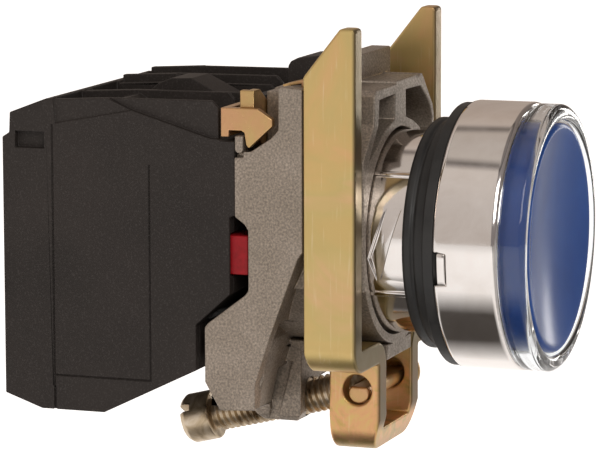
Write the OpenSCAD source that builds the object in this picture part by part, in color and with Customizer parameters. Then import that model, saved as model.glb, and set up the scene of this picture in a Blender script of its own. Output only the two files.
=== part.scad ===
// Illuminated panel push button, 22 mm family: head, fixing collar with clamp yoke,
// two contact blocks and a light block between them.
// Frame: the origin is where the button's axis meets the panel's front face.
// +Y runs along the axis to the rear, behind the panel; +Z is up; -X is the normally closed block's side.

/* [Panel fixing] */
// Outer diameter of the threadless bushing that goes through the panel
bushing_d = 22; // [21.8:0.1:22]
// Gap between gasket and clamp jaws with the yoke backed off
panel_gap = 4.2; // [4.2:0.1:4.3]
// How far the clamp yoke can be driven towards the gasket
clamp_travel = 3.2; // [2:0.1:3.2]

/* [Head] */
// Outer diameter of the bezel
bezel_d = 29; // [29:0.1:29.4]
// Length of the bezel along the axis
bezel_len = 7; // [6.8:0.1:7.2]
// Length of the clear ring in front of the bezel
ring_len = 3; // [2.6:0.1:3.4]
// Travel of the button from rest to its stop
travel = 4.3; // [3:0.1:4.3]
// Depth of the dish in the lens face
dish = 1.3; // [0.8:0.1:1.4]

/* [Collar] */
// Width over the side plates of the collar
width = 30; // [30:0.1:30.4]
// Turn of the locking lever from locked to free, degrees
lever_turn = 12; // [10:1:12]

/* [Clamp] */
// Sheet thickness of the yoke
sheet = 2.4; // [2.2:0.1:2.4]
// Tilt of the clamp screw's axis, degrees
screw_tilt = 14; // [13:0.5:15]
// Thread diameter of the clamp screw
screw_d = 4; // [3.9:0.1:4]

/* [Blocks] */
// Width of one block
block_w = 9.9; // [9.7:0.1:9.9]
// Thickness of a block's side plate
side_t = 1.2; // [1:0.1:1.3]
// Travel of a terminal clamp from open to closed
terminal_travel = 4.4; // [3:0.1:4.4]

/* [Hidden] */
$fn = 64;
eps = 0.01;

bushing_r = bushing_d / 2;
bezel_r = bezel_d / 2;
gasket_len = 4;              // gasket thickness, from the panel to the bezel
gasket_lip = 1.1;            // thickness of its outer lip
bezel_rear = -gasket_len;
bezel_front = bezel_rear - bezel_len;
head_front = bezel_front - ring_len;
bezel_wall = 1.45;
bezel_bore_r = bezel_r - bezel_wall;
flange_t = 1.5;              // bushing flange inside the bezel
flange_front = bezel_rear - flange_t;
seal_t = 0.6;                // washer between bezel and bushing
seal_bore_r = 11.35;

ring_r = bezel_r - 0.15;     // clear ring
ring_bore_r = 12.6;
lens_r = 12.35;
lens_skirt = 3.3;
lens_wall = 1.2;
carrier_front = head_front + 2.6; // front of the diffuser, which lies on the carrier
diffuser_t = 0.6;
carrier_flange_t = 0.9;
carrier_flange_r = lens_r - lens_wall - 0.05;
carrier_r = 8;
carrier_bore_r = 6.6;
guide_r = 8.3;               // bushing bore that guides the carrier
spring_bore_r = 9.6;
spring_seat = 3;
guide_end = 8;
rear_bore_r = 8.8;
bushing_end = 17.5;

core_bore_r = bushing_r + 0.3;   // collar
core_r = 12.3;
core_front = panel_gap;
core_rear = 15.7;
plate_in = width / 2 - 1.8;      // inner face of a side plate
plate_front = 10.1;
lever_y = core_rear + 0.05;      // locking lever's sheet
lever_t = 0.9;
lever_in_r = bushing_r + 0.15;
lever_out_r = 13.05;
groove_r = 10.05;                // groove behind the bushing's rear lugs
lug_half = 5.5;                  // half width of a lever lug, degrees
gap_half = 6;                    // half width of the gaps that the lugs pass
lug_turns = [90, 210, 330];

jaw_y = panel_gap;               // yoke
yoke_rear = 10;
bend_in = 0.3;
bend_out = bend_in + sheet;
wing_x = width / 2;
leg_x = 6.8;
shelf_top = -11.2;
yoke_foot = -23.4;
wing_top = 23.2;

pin_y = 6.65;                    // pressure pin and clamp screw
pin_z = -16.95;
pin_r = 1.15;
pin_rise = clamp_travel * tan(screw_tilt);
pin_hole_y = pin_y + 0.15;
pin_hole_z = pin_z + pin_rise / 2 - 0.07;
pin_hole_r = pin_r + pin_rise / 2 + 0.07;
pin_flat = 0.75;             // height of the flat that the screw pushes on
pin_top = 0.7;               // height of the flat along the pin's top
screw_pitch = 0.7;
screw_head_r = 2.75;
screw_head_len = 3.5;
screw_len = 19.5;

zc = -2.1;                       // middle height of the blocks
block_rear = 44.5;
block_x = [-10, 0, 10];
plunger_z0 = -3.4;
plunger_z1 = 0.8;
plunger_front = 16.4;
shaft_z = 9.7;                   // height of a terminal screw over the middle
terminal_y = 32.8;               // front face of a terminal plate
terminal_t = 1;
clamp_t = 1.2;
ear_len = 0.6;
clamp_y = terminal_y + terminal_t + terminal_travel + ear_len + 0.1; // front face of an open terminal clamp
terminal_r = 1.5;
terminal_head_r = 2.7;
driver_r = 2.5;
tie_height = 6.4;                // of the contact strips over the middle
stem_z = -1.3;
stem_wall = 36;
stem_end = 36.5;
nc_fixed_y = 24;                 // front faces of the contact strips
nc_bridge_y = 25.85;
no_bridge_y = 24.6;
no_fixed_y = 30.7;
board_front = 24;                // the light block's circuit board
board_rear = 25.45;
sleeve_r = 3.6;
led_r = 2.4;
casing = [0.13, 0.12, 0.13];

// ---------- shared shapes ----------

// A solid of revolution about the button's axis; points are [radius, y].
module turned(points) {
    rotate([-90, 0, 0]) rotate_extrude() polygon(points);
}

// A tube about the button's axis between two y values.
module tube(r_out, r_in, y0, y1) {
    turned([[r_in, y0], [r_out, y0], [r_out, y1], [r_in, y1]]);
}

// A rod along Y.
module rod_y(r, y0, y1) {
    translate([0, y0, 0]) rotate([-90, 0, 0]) cylinder(r = r, h = y1 - y0);
}

// A rod along X.
module rod_x(r, x0, x1) {
    translate([x0, 0, 0]) rotate([0, 90, 0]) cylinder(r = r, h = x1 - x0);
}

// A side outline, points [y, z], made thick from x0 to x1.
module side_plate(points, x0, x1) {
    translate([x0, 0, 0]) rotate([90, 0, 90]) linear_extrude(x1 - x0) polygon(points);
}

// A front outline made thick from y0 to y1.
module front_plate(y0, y1) {
    translate([0, y1, 0]) rotate([90, 0, 0]) linear_extrude(y1 - y0) children();
}

// A box between two corners.
module block(low, high) {
    translate(low) cube(high - low);
}

// A wedge of the XZ plane about the axis, for cutting rings.
module sector(r, middle, half) {
    polygon([[0, 0],
        [r * cos(middle - half), r * sin(middle - half)],
        [r * cos(middle), r * sin(middle)] * 1.1,
        [r * cos(middle + half), r * sin(middle + half)]]);
}

// A coil spring about an axis along Y, with closed ends cut off square.
module coil(r, wire_r, y0, y1, turns) {
    sides = 8;
    steps = 14;
    count = turns * steps;
    lead = (y1 - y0 - 2 * wire_r) / turns;
    function at(i, k) =
        let (a = 360 * i / steps, b = 360 * k / sides, rr = r + wire_r * cos(b))
        [rr * cos(a), y0 + wire_r + lead * i / steps + wire_r * sin(b), rr * sin(a)];
    points = [for (i = [0:count]) for (k = [0:sides - 1]) at(i, k)];
    skin = [for (i = [0:count - 1]) for (k = [0:sides - 1])
        let (n = (k + 1) % sides)
        [i * sides + k, (i + 1) * sides + k, (i + 1) * sides + n, i * sides + n]];
    first = [for (k = [0:sides - 1]) k];
    last = [for (k = [sides - 1:-1:0]) count * sides + k];
    polyhedron(points, concat(skin, [first], [last]), convexity = 10);
}

// ---------- head ----------

module lens_cap() {
    sphere_r = (lens_r * lens_r + dish * dish) / (2 * dish);
    function dish_y(r) = head_front + dish - (sphere_r - sqrt(sphere_r * sphere_r - r * r));
    rim_r = lens_r - 0.3;
    face = [for (i = [0:10]) [rim_r * i / 10, dish_y(rim_r * i / 10)]];
    inner_r = lens_r - lens_wall;
    color("mediumblue") turned(concat(face, [[lens_r, head_front + 0.3], [lens_r, head_front + lens_skirt],
        [inner_r, head_front + lens_skirt], [inner_r, carrier_front], [0, carrier_front]]));
}

module diffuser() {
    // A frosted disc under the lens, thinner in the middle.
    edge_r = carrier_flange_r;
    back = carrier_front + diffuser_t;
    color("white") turned([[0, carrier_front], [edge_r, carrier_front], [edge_r, back], [4.5, back],
        [4, back - 0.2], [0, back - 0.2]]);
}

module push_carrier() {
    y0 = carrier_front + diffuser_t;
    y1 = y0 + carrier_flange_t;
    tube_end = 13.2;
    arm_x0 = 6.2;
    arm_x1 = 7.6;
    color("gainsboro") {
        turned([[carrier_bore_r, y0], [carrier_flange_r, y0], [carrier_flange_r, y1],
            [carrier_r, y1], [carrier_r, guide_end + 0.05], [carrier_r - 0.6, guide_end + 0.05],
            [carrier_r - 0.6, guide_end + 0.85], [carrier_r, guide_end + 0.85],
            [carrier_r, tube_end], [carrier_bore_r, tube_end]]);
        // Two arms reach back through the bushing to the plungers.
        for (s = [-1, 1]) {
            low_x = s < 0 ? -arm_x1 : arm_x0;
            block([low_x, tube_end - 1.5, plunger_z0 + 0.2],
                [low_x + arm_x1 - arm_x0, plunger_front - 0.02, plunger_z1 - 0.2]);
        }
    }
}

module retaining_clip() {
    color("silver") difference() {
        tube(guide_r + 0.4, carrier_r - 0.58, guide_end + 0.08, guide_end + 0.82);
        // The open gap of the clip, at the bottom.
        block([-1.5, guide_end - 1, -guide_r - 2], [1.5, guide_end + 2, -carrier_r + 2]);
    }
}

module return_spring() {
    flange_rear = carrier_front + diffuser_t + carrier_flange_t;
    color("silver") coil(8.85, 0.4, flange_rear + 0.05, spring_seat - 0.05, 6);
}

module clear_ring() {
    edge = 0.35;
    spigot = 2;
    color("whitesmoke", 0.4) turned([[ring_bore_r, head_front + 0.1], [ring_bore_r + 0.1, head_front],
        [ring_r - edge, head_front], [ring_r, head_front + edge],
        [ring_r, bezel_front - 0.35], [ring_r - 0.35, bezel_front],
        [bezel_bore_r - 0.03, bezel_front], [bezel_bore_r - 0.03, bezel_front + spigot],
        [ring_bore_r, bezel_front + spigot]]);
}

module bezel() {
    notch_z0 = -3.4;
    color("silver") difference() {
        turned([[bezel_bore_r, bezel_front], [bezel_r - 0.3, bezel_front], [bezel_r, bezel_front + 0.3],
            [bezel_r, bezel_rear - 0.3], [bezel_r - 0.3, bezel_rear], [bezel_bore_r, bezel_rear]]);
        // Notches at both sides show the bushing's snap lugs.
        block([-bezel_r - 1, bezel_rear - 1.45, notch_z0], [bezel_r + 1, bezel_rear + 1, 0]);
    }
}

module bezel_seal() {
    color("dimgray") tube(bezel_bore_r - 0.05, seal_bore_r, flange_front - seal_t, flange_front);
}

module head_bushing() {
    rib_r = bushing_r + 0.25;
    rib_end = 5.5;
    color("silver") difference() {
        union() {
            turned([[spring_bore_r, flange_front], [bezel_bore_r - 0.05, flange_front],
                [bezel_bore_r - 0.05, bezel_rear], [bushing_r, bezel_rear],
                [bushing_r, lever_y - 0.05], [groove_r, lever_y - 0.05],
                [groove_r, lever_y + lever_t + 0.05], [bushing_r, lever_y + lever_t + 0.05],
                [bushing_r, bushing_end], [rear_bore_r, bushing_end],
                [rear_bore_r, guide_end], [guide_r, guide_end],
                [guide_r, spring_seat], [spring_bore_r, spring_seat]]);
            // Snap lugs that hold the bezel.
            intersection() {
                rod_y(bezel_r - 0.05, bezel_rear - 1.4, bezel_rear - 0.5);
                for (s = [-1, 1]) translate([s * bezel_bore_r, bezel_rear - 0.95, -1.7])
                    cube([3, 0.9, 3.3], center = true);
            }
            // Key ribs along the bushing.
            intersection() {
                rod_y(rib_r, 0.1, rib_end);
                for (a = [41, 139, 209, 331]) rotate([0, -a, 0])
                    translate([bushing_r, 2.8, 0]) cube([1.5, 6, 0.6], center = true);
            }
        }
        // Gaps in the rear rim, which the lever's lugs pass when it is turned.
        front_plate(lever_y + lever_t, bushing_end + 1) difference() {
            for (a = lug_turns) sector(bushing_r + 2, a, gap_half);
            circle(groove_r);
        }
        // Helical ramps let into the bushing's wall on both sides.
        for (s = [-1, 1]) side_plate([[0.5, 4.6], [2.1, 4.6], [4.1, -1.5], [3.1, -4.4], [2.3, -1.6]],
            s < 0 ? -bushing_r - 1 : bushing_r - 0.75, s < 0 ? -bushing_r + 0.75 : bushing_r + 1);
    }
}

module panel_gasket() {
    neck_r = 12.5;
    lip_r = 14.2;
    bore_r = bushing_r + 0.3;
    lip_y = bezel_rear + gasket_lip;
    color("black") turned([[bore_r, bezel_rear], [lip_r, bezel_rear], [lip_r, lip_y],
        [neck_r, lip_y + 0.2], [neck_r, -0.3], [neck_r - 0.3, 0], [bore_r, 0]]);
}

// ---------- collar ----------

side_outline = [[plate_front, 16.7], [12.1, 16.9], [12.75, 16.8], [12.75, 12.3], [13.6, 11.4], [15.8, 9.95],
    [17.7, 9.4], [17.7, 2.9],
    [16.6, 2.1], [16.2, 1.5], [16.2, -5], [16.6, -5.5], [20.8, -8.7], [21.2, -9.2], [21.2, -15.1],
    [19.5, -18.1], [15.5, -17.9], [15.5, -15.1], [13.9, -10.2], [10.6, -1.3], [plate_front, -0.6]];
flag_pocket = [[12.75, 25], [12.75, 12.3], [13.6, 11.4], [15.8, 9.95], [16.69, 9.95], [16.69, 25]];
beam_outline = [[15.2, -11], [16.6, -7], [20.8, -8.7], [21.2, -9.2], [21.2, -15.1], [16.4, -15.1]];
// The web between a side plate and the boss, at the plate and at the boss.
web_out = [[15.1, -11], [15.1, -14.5], [16, -18], [19.3, -17.9], [20.9, -15.1], [20.9, -11]];
web_in = [[16, -11], [17.06, -15.5], [18, -19.4], [19.4, -19.4], [20.9, -15.1], [20.9, -11]];
boss_outline = [[14.4, -13], [14.4, -20.4], [15, -21.3], [18.9, -21.3], [19.9, -20.3], [19.9, -13], [17, -11]];
boss_groove = [[15.5, -14.6], [17.1, -20.7], [17.5, -22], [18.6, -22], [18, -20], [18.6, -14.6]];

module collar_core() {
    // The ring round the bushing, its hood towards the panel and the roof behind the hood.
    rod_y(core_r, core_front, core_rear);
    front_plate(core_front, core_rear) difference() {
        polygon([[-7.9, 16.05], [-1.2, 16.05], [-1.2, 16.35], [6.2, 16.35], [6.4, 16.1], [6.9, 16.1], [7.1, 16.35],
            [7.9, 16.35], [8.5, 15.8], [11.7, 12.6], [12.2, 11.5], [12.2, -5],
            [-12.2, -5], [-12.2, 8.9], [-8.6, 12.4], [-8.5, 15.5]]);
        // Windows beside the hood's rib.
        polygon([[-6.8, 14.9], [-1.6, 15], [-1.7, 12.3], [-4.6, 11.5], [-7.6, 9.8], [-9, 9.2], [-10, 9],
            [-7.2, 12.2]]);
        polygon([[2.2, 15.1], [7.4, 15], [9.6, 13.6], [10.8, 12.5], [11.4, 11.3], [11.4, 9.9], [8.5, 9.5],
            [6.9, 10.6], [4.8, 11.5], [2.2, 12.2]]);
    }
    // Raised wall that the light block's hook holds.
    block([-8, 8.3, 12], [9.2, 10.6, 19.1]);
    block([-12.8, plate_front, -2], [12.8, core_rear, 15.9]);
}

module boss() {
    // Threaded boss of the clamp screw, with chamfered lower edges and a groove down each side.
    difference() {
        intersection() {
            side_plate(boss_outline, -3.4, 3.4);
            front_plate(14, 20) polygon([[-3.4, -11], [3.4, -11], [3.4, -19.6], [1.8, -21.3], [-2.8, -21.3],
                [-3.4, -20.7]]);
        }
        side_plate(boss_groove, -4, -2.7);
        side_plate(boss_groove, 2.7, 4);
    }
}

module collar_casting() {
    color("gray") difference() {
        union() {
            collar_core();
            side_plate(side_outline, -width / 2, -plate_in);
            side_plate(side_outline, plate_in, width / 2);
            // Webs that tie the side plates to the core.
            side_plate([[plate_front, 16.6], [core_rear, 9], [core_rear, -7], [14, -9], [plate_front, -0.8]],
                -plate_in - eps, plate_in + eps);
            side_plate(beam_outline, -plate_in - eps, plate_in + eps);
            for (s = [-1, 1]) hull() {
                side_plate(web_out, s * plate_in - 0.1, s * plate_in + 0.1);
                side_plate(web_in, s * 3.3 - 0.1, s * 3.3 + 0.1);
            }
            boss();
            // Keel under the ring, between the yoke's legs.
            side_plate([[core_front, -12], [core_front, -13.6], [6, -14.2], [12.9, -14.2], [16, -12]],
                -4.1, 4.1);
            // Stop for the locking lever's tooth, with a rounded foot.
            side_plate([[16.7, 11.55], [16.7, 10], [16.95, 9.7], [17.4, 9.7], [17.65, 10], [17.65, 11.55]],
                -width / 2, -width / 2 + 1);
            side_plate([[16.7, 11.3], [16.7, 9], [17.65, 9], [17.65, 11.3]], -width / 2 + 0.7, -width / 2 + 1.7);
        }
        // Bore for the bushing.
        rod_y(core_bore_r, 0, 30);
        // Slot for the locking lever's ring.
        rod_y(lever_out_r + 0.3, core_rear, lever_y + lever_t + 0.3);
        // Pocket that the lever's flag swings through, open to the top and rear.
        side_plate(flag_pocket, -20, -10.4);
        // Groove under the stop.
        block([-width / 2 - 1, 16.69, 9.25], [-width / 2 + 0.7, 18, 9.69]);
        // Slot for the light block's hook.
        block([-5.3, 10.6, 13], [5.3, 20, 25]);
        // Pockets for the blocks' snap lugs.
        for (x = block_x) block([x - 2.1, 19.6, -13.1], [x + 2.1, 22, -10.3]);
        // Threaded hole of the clamp screw.
        screw_axis() cylinder(r = screw_d / 2 + 0.05, h = 40);
        // Room for the pushed-in arms of the yoke's shelf.
        block([-20, 0, -30], [20, plate_front - eps, -14.3]);
    }
}

module locking_lever() {
    y0 = lever_y;
    y1 = lever_y + lever_t;
    flag_x0 = -width / 2;
    color("darkkhaki") {
        front_plate(y0, y1) {
            difference() {
                circle(lever_out_r);
                circle(lever_in_r);
            }
            // Lugs that hold the bushing's rear rim, and the arm to the flag.
            intersection() {
                difference() {
                    circle(lever_in_r + 0.2);
                    circle(groove_r + 0.1);
                }
                for (a = lug_turns) sector(lever_out_r, a + lever_turn, lug_half);
            }
            difference() {
                polygon([[flag_x0, 12.1], [flag_x0, 14.5], [-14.1, 14.5], [-14.1, 16.3], [-12.2, 16.3],
                    [-9.3, 14.5], [-6.6, 11.7], [-9.5, 8.5], [-13.4, 11.7]]);
                circle(lever_in_r + 0.1);
            }
        }
        // Flag at the side: an arrow head with a tooth that drops in front of the stop.
        side_plate([[19.2, 12.1], [19.2, 14.5], [15.1, 14.5], [13.4, 13.4], [13.4, 12.7], [16.05, 10.25],
            [16.35, 10.6], [16.55, 11.9], [16.9, 12.1]], flag_x0, flag_x0 + lever_t);
        // Finger tab across the flag's rear end, and the bent-back top of the arm.
        block([flag_x0, 19.2 - lever_t, 11.4], [-9.3, 19.2, 14.5]);
        block([-14.1, y1 - eps, 13.7], [-13.2, y1 + 0.7, 16.3]);
    }
}

module lever_spring() {
    // Leaf that holds the lever locked: a folded strip in the roof's corner.
    color("goldenrod") side_plate([[10.7, 15.92], [12.7, 15.92], [12.7, 16.22], [11, 16.22], [11, 17.05],
        [13, 16.6], [13.1, 16.9], [10.7, 17.5]], -12.6, -8.8);
}

// ---------- clamp ----------

// A quarter bend of the sheet; q is the quadrant that it fills, from 1 to 4.
module bend(x, z, q) {
    translate([x, z]) intersection() {
        difference() {
            circle(bend_out);
            circle(bend_in);
        }
        rotate(90 * (q - 1)) square(bend_out + 1);
    }
}

module yoke_half() {
    wing_bend_x = -wing_x + bend_out;
    shelf_foot = shelf_top - sheet;
    leg_bend_x = -leg_x - bend_in;
    foot_bend_x = -leg_x + bend_out;
    // wing
    translate([-wing_x, shelf_foot + bend_out]) square([sheet, wing_top - shelf_foot - bend_out]);
    bend(wing_bend_x, shelf_foot + bend_out, 3);
    // shelf
    translate([wing_bend_x, shelf_foot]) square([leg_bend_x - wing_bend_x, sheet]);
    bend(leg_bend_x, shelf_foot - bend_in, 1);
    // leg and foot
    translate([-leg_x, yoke_foot + bend_out]) square([sheet, shelf_foot - bend_in - yoke_foot - bend_out]);
    bend(foot_bend_x, yoke_foot + bend_out, 3);
    translate([foot_bend_x, yoke_foot]) square([-foot_bend_x, sheet]);
}

module clamp_yoke() {
    color("darkkhaki") difference() {
        intersection() {
            front_plate(jaw_y, yoke_rear) {
                yoke_half();
                mirror([1, 0]) yoke_half();
            }
            side_plate([[jaw_y, wing_top - 0.3], [jaw_y + 0.3, wing_top], [5.9, wing_top], [yoke_rear, 18],
                [yoke_rear, -11.5], [9.7, -13.3], [yoke_rear, -13.9], [yoke_rear, -19.5], [9.8, yoke_foot],
                [5.2, yoke_foot], [jaw_y, -19.8]], -wing_x, wing_x);
        }
        translate([0, pin_hole_y, pin_hole_z]) rod_x(pin_hole_r, -wing_x, wing_x);
    }
}

// Places its children with Z along the clamp screw's axis, from the pressure pin to the rear.
module screw_axis() {
    translate([0, pin_y, pin_z]) rotate([-90 - screw_tilt, 0, 0]) children();
}

module pressure_pin() {
    color("goldenrod") difference() {
        translate([0, pin_y, pin_z]) {
            rod_x(pin_r, -leg_x + 0.1, leg_x + 0.1);
            // Head that keeps the pin in the far leg.
            rod_x(2.4, leg_x + 0.1, leg_x + 1);
        }
        screw_axis() translate([-3, -3, pin_flat]) cube([6, 6, 3]);
        block([-leg_x - 1, pin_y - 2, pin_z + pin_top], [leg_x, pin_y + 2, pin_z + 2]);
    }
}

module clamp_screw() {
    head0 = screw_len;
    head1 = screw_len + screw_head_len;
    groove = 0.3;
    color("goldenrod") screw_axis() difference() {
        rotate_extrude() polygon(concat(
            [[0, pin_flat + 0.02], [1.3, pin_flat + 0.02], [1.45, 1.4]],
            [for (t = [1.6:screw_pitch:head0 - 0.6]) each [[screw_d / 2 - groove, t],
                [screw_d / 2, t + screw_pitch * 0.4], [screw_d / 2, t + screw_pitch * 0.5]]],
            [[screw_d / 2 - groove, head0 - 0.2], [screw_d / 2 - groove, head0], [screw_head_r, head0],
                [screw_head_r, head1 - 0.5], [screw_head_r - 0.5, head1], [0, head1]]));
        // Driver slot and cross recess.
        translate([-screw_head_r - 1, -0.5, head1 - 1.3]) cube([2 * screw_head_r + 2, 1, 3]);
        translate([-0.5, -1.6, head1 - 1.8]) cube([1, 3.2, 3]);
    }
}

// ---------- blocks ----------

body_outline = [[17.7, 10.9], [17.7, 3], [18.3, 2.8], [18.3, -5.5], [22.2, -9], [22.2, -13.95],
    [32.9, -19.2], [40.2, -19.2], [block_rear, -17.7], [block_rear, 10.4], [43.7, 10.9], [43.6, 13.1],
    [39.4, 14.7], [38.5, 14.7], [38.3, 12.1], [29.4, 13.8], [20.4, 11.1], [19.7, 11.1], [19.2, 10.9]];
// Side walls over the roof: front and rear parts of an outer face, which are recessed differently.
function front_wall(front, top) = [[front, 8], [front, top - 0.7], [front + 0.75, top + 0.1],
    [32.3, top], [29.4, 13.8], [29.4, 8]];
function rear_wall(top) = [[29.4, 8], [29.4, 13.8], [32.3, top], [38.7, top - 0.35], [38.7, 8]];
room_outline = [[19.6, 9.4], [19.6, -4.9], [23.4, -8.4], [23.4, -13.1], [34, -18], [40, -18], [43.3, -16.8],
    [43.3, 9.4], [41, 11], [26, 11], [22, 9.7]];

// One side plate of a block: side is -1 or 1.
module block_side(x, side, plunger) {
    half = block_w / 2;
    in_x = half - side_t;
    face = x + side * half;
    // The walls of the middle and far blocks stand at slightly different heights.
    wall_top = x > 0 ? 15.6 : x < 0 ? 15 : 14.8;
    wall_front = x < 0 && side > 0 ? 20.9 : 19.7;
    difference() {
        union() {
            side_plate(body_outline, side < 0 ? x - half : x + in_x, side < 0 ? x - in_x : x + half);
            side_plate(front_wall(wall_front, wall_top), side < 0 ? x - half + 0.6 : x + in_x,
                side < 0 ? x - in_x : x + half - 0.6);
            side_plate(rear_wall(wall_top), side < 0 ? x - half + 0.25 : x + in_x,
                side < 0 ? x - in_x : x + half - 0.25);
        }
        // Fine grooves round the blank label field, and the snap window at the rear corner.
        block([face - 0.12, 38.6, -16.9], [face + 0.12, 38.72, 11.9]);
        block([face - 0.12, 27.4, -15.4], [face + 0.12, 27.5, 8]);
        block([face - 0.12, 27.4, -15.46], [face + 0.12, 38.6, -15.34]);
        block([face - 0.3, 38.5, -19.3], [face + 0.3, 38.75, -16.7]);
        block([face - 0.9, 39.6, 9.3], [face + 0.9, 43, 11.1]);
        // Path of the plunger.
        if (plunger) block([x - 4.5, 16, plunger_z0 - 0.2], [x + 4.5, 19.1 + travel, plunger_z1 + 0.2]);
    }
}

// Cuts the wire entries from above and below, between the side plates.
module wire_pockets(x) {
    half = block_w / 2 - side_t;
    entry = 12;              // height over the middle at which an entry starts
    for (s = [-1, 1])
        block([x - half, terminal_y + terminal_t, s > 0 ? zc + entry : -25],
            [x + half, clamp_y - 0.1, s > 0 ? 20 : zc - entry]);
}

// The walls of a block and the side plate opposite to the open side, which is -1 or 1.
module housing(x, open_side, plunger) {
    in_x = block_w / 2 - side_t;
    rear_x = x + (open_side < 0 ? eps : -eps);
    difference() {
        union() {
            difference() {
                side_plate(body_outline, rear_x - in_x, rear_x + in_x);
                side_plate(room_outline, x - in_x - 1, x + in_x + 1);
            }
            block_side(x, -open_side, plunger);
            // Seats of the terminal plates.
            for (s = [-1, 1]) block([rear_x - in_x, terminal_y - 1.2, zc + s * shaft_z - 3.4],
                [rear_x + in_x, terminal_y - 0.02, zc + s * shaft_z + 3.4]);
            // Wall that guides the plunger's stem and seats its spring.
            if (plunger) block([rear_x - in_x, stem_wall, -3.9], [rear_x + in_x, stem_wall + 1.1, 1.3]);
            // Ridge of the roof in front of the upper wire entry.
            side_plate([[29.8, 13.2], [31.9, 14.6], [33.7, 14.2], [33.7, 12.5], [29.8, 12.5]],
                rear_x - in_x, rear_x + in_x);
            // Snap lug into the collar.
            block([x - 1.9, 19.8, -12.9], [x + 1.9, 23.5, -10.5]);
        }
        wire_pockets(x);
        for (s = [-1, 1]) {
            translate([x, 0, zc + s * shaft_z]) {
                // Driver hole at the rear, room for the screw's head, and the hole behind the terminal plate.
                rod_y(driver_r, 42, 46);
                rod_y(terminal_head_r + 0.25, 40, 43.2);
                rod_y(terminal_r + 0.3, 20, 34);
            }
            // Way for the strip that joins a terminal plate to its contact.
            tie_z = zc + s * tie_height;
            block([x - 3.4, 30, tie_z - 0.6], [x - 1.7, terminal_y + 0.1, tie_z + 0.6]);
        }
        if (plunger) {
            block([x - 4.5, 16, plunger_z0 - 0.2], [x + 4.5, 20.5, plunger_z1 + 0.2]);
            translate([x, 0, stem_z]) rod_y(1.2, 30, 40);
        }
    }
}

module terminal_plate(x, s) {
    plate_z0 = zc + s * shaft_z - 3.2;
    block([x - 3.2, terminal_y, plate_z0], [x + 3.2, terminal_y + terminal_t, plate_z0 + 6.4]);
}

// Two brass strips, each a terminal plate outside and a contact arm inside. arm_y is the arm's front face,
// and tips is 1 when the contact points look to the rear.
module fixed_contacts(x, arm_y, tips) {
    arm_t = 0.8;
    for (s = [-1, 1]) difference() {
        union() {
            terminal_plate(x, s);
            tie_z = zc + s * tie_height;
            block([x - 3.2, arm_y, tie_z - 0.4], [x - 1.9, terminal_y + 0.5, tie_z + 0.4]);
            block([x - 3.2, arm_y, tie_z - (s > 0 ? 2.4 : 0.4)],
                [x + 2, arm_y + arm_t, tie_z + (s > 0 ? 0.4 : 2.4)]);
            contact_y = tips > 0 ? arm_y + arm_t : arm_y - 0.5;
            translate([x, 0, zc + s * 5]) rod_y(0.9, contact_y, contact_y + 0.5);
        }
        translate([x, 0, zc + s * shaft_z]) rod_y(terminal_r + 0.05, 20, 40);
    }
}

// The spring-borne contact strip with its two tips. tips is 1 when they point to the rear.
module bridge(x, y, tips) {
    strip_t = 0.7;
    difference() {
        union() {
            block([x - 1.6, y, zc - 6], [x + 1.6, y + strip_t, zc + 6]);
            for (s = [-1, 1]) translate([x, 0, zc + s * 5])
                rod_y(0.9, tips > 0 ? y + strip_t : y - 0.5, tips > 0 ? y + strip_t + 0.5 : y);
        }
        translate([x, 0, stem_z]) rod_y(1.1, y - 1, y + 2);
    }
}

// Plunger: a coloured pusher with an inner pad for the carrier's arm and a stem that carries the bridge.
module plunger(x, side) {
    in_x = side < 0 ? x + 2.2 : x - 3.8;
    out_x = side < 0 ? x - 4.4 : x + 3.3;
    body_y = 17.75;
    shoulder_y = 21.6;
    block([in_x, plunger_front, plunger_z0], [in_x + 1.6, body_y + eps, plunger_z1]);
    block([out_x, plunger_front, plunger_z0], [out_x + 1.1, body_y + eps, plunger_z1]);
    block([x - 4.4, body_y, plunger_z0], [x + 4.4, 18.9, plunger_z1]);
    block([x - 3.5, 18.9 - eps, plunger_z0], [x + 3.5, shoulder_y, plunger_z1]);
    translate([x, 0, stem_z]) rod_y(1, shoulder_y - eps, stem_end);
}

module terminal_clamp(x, s) {
    z = zc + s * shaft_z;
    outer_z = zc + s * (shaft_z + 2.6);
    color("silver") difference() {
        union() {
            block([x - 3.2, clamp_y, z - 2.6], [x + 3.2, clamp_y + clamp_t, z + 2.6]);
            // Ears that keep the saddle square.
            for (i = [-1, 1]) block([x + i * 2.8 - 0.4, clamp_y - ear_len, min(outer_z, z)],
                [x + i * 2.8 + 0.4, clamp_y + eps, max(outer_z, z)]);
        }
        translate([x, 0, z]) rod_y(terminal_r + 0.1, 30, 45);
    }
}

module terminal_screw(x, s) {
    z = zc + s * shaft_z;
    head0 = clamp_y + clamp_t + 0.02;
    head1 = head0 + 2.2;
    color("silver") translate([x, 0, z]) difference() {
        union() {
            rod_y(terminal_r, terminal_y - 0.6, head0 + eps);
            rod_y(terminal_head_r, head0, head1);
        }
        block([-4, head1 - 0.9, -0.4], [4, head1 + 1, 0.4]);
        block([-0.4, head1 - 1.3, -1.5], [0.4, head1 + 1, 1.5]);
    }
}

// ---------- contact blocks ----------

module nc_housing() { color(casing) housing(block_x[0], -1, true); }
module nc_cover() { color(casing) block_side(block_x[0], -1, true); }
module nc_fixed_contacts() { color("peru") fixed_contacts(block_x[0], nc_fixed_y, 1); }
module nc_bridge() { color("sandybrown") bridge(block_x[0], nc_bridge_y, -1); }
module nc_plunger() { color("crimson") plunger(block_x[0], -1); }
module nc_spring() { color("silver") contact_spring(block_x[0], nc_bridge_y); }

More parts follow.
